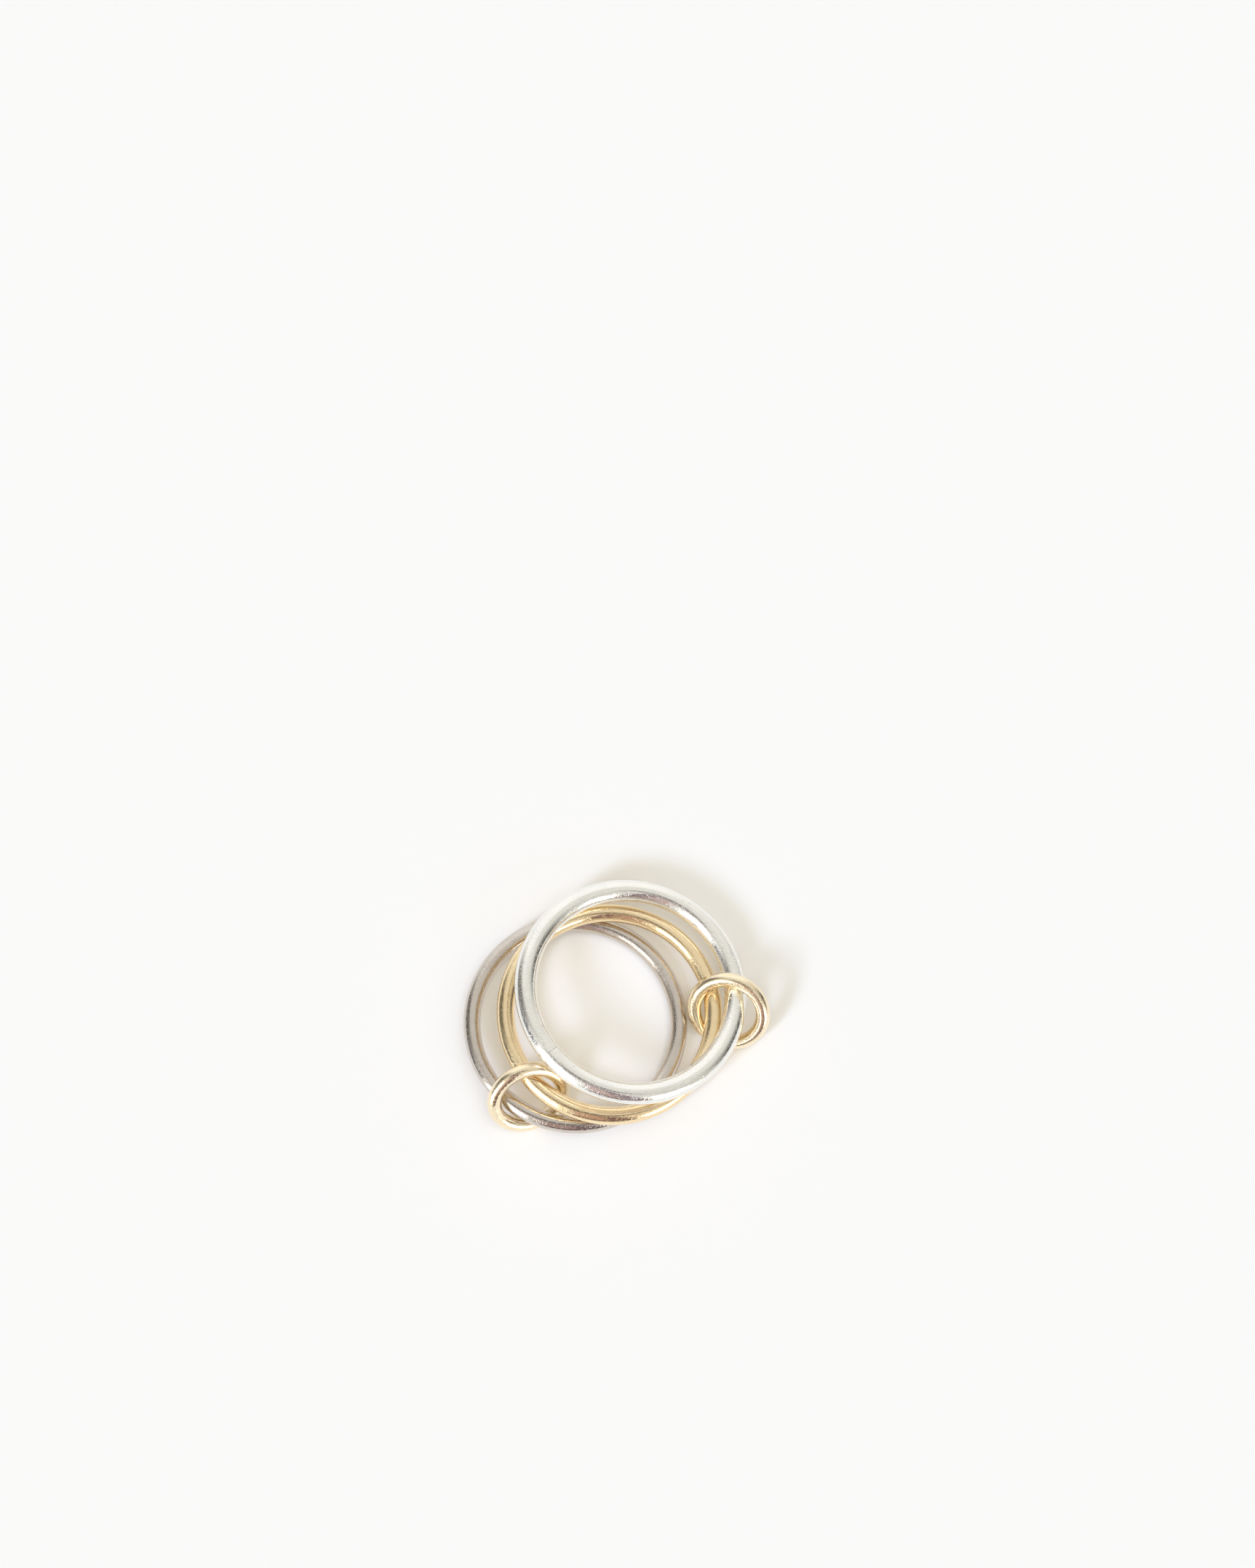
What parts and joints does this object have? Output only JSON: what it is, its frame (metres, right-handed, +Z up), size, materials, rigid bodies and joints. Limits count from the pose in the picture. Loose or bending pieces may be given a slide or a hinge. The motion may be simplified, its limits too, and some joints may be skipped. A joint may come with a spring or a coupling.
{
  "type": "linked finger rings",
  "caption": "Silver, yellow gold and grey gold finger rings of round wire, fanned over one another and joined by small round wire links.",
  "frame": {"origin": "middle of the bottom of the box round all five rings, on the table", "axes": "+Z up, the bands lying nearly flat; +X from the lower link's side towards the upper link's side; +Y away from the front"},
  "size_m": [0.0278, 0.0232, 0.0078],
  "materials": {
    "silver": "polished",
    "yellow_gold": "polished",
    "grey_gold": "polished"
  },
  "bodies": {
    "grey_band": {"grey_band": "grey_gold"},
    "lower_link": {"lower_link": "yellow_gold"},
    "gold_band": {"gold_band": "yellow_gold"},
    "upper_link": {"upper_link": "yellow_gold"},
    "silver_band": {"silver_band": "silver"}
  },
  "joints": [
    {"name": "lower_link_travel", "type": "hinge", "parent": "grey_band", "child": "lower_link", "pos_m": [-0.00374, -0.00137, 0.00154], "axis": [0.0555, 0.0555, 0.9969], "continuous": true},
    {"name": "gold_swing", "type": "hinge", "parent": "lower_link", "child": "gold_band", "pos_m": [-0.00715, -0.00752, 0.00388], "axis": [0.7187, -0.6951, -0.0153], "range_deg": [0, 70]},
    {"name": "upper_link_travel", "type": "hinge", "parent": "gold_band", "child": "upper_link", "pos_m": [-0.0006, -0.00074, 0.00297], "axis": [0.0779, 0.0587, 0.9952], "range_deg": [-15, 20]},
    {"name": "silver_swing", "type": "hinge", "parent": "upper_link", "child": "silver_band", "pos_m": [0.01077, -0.00012, 0.00321], "axis": [0.0921, 0.9855, -0.1425], "range_deg": [0, 170]}
  ]
}
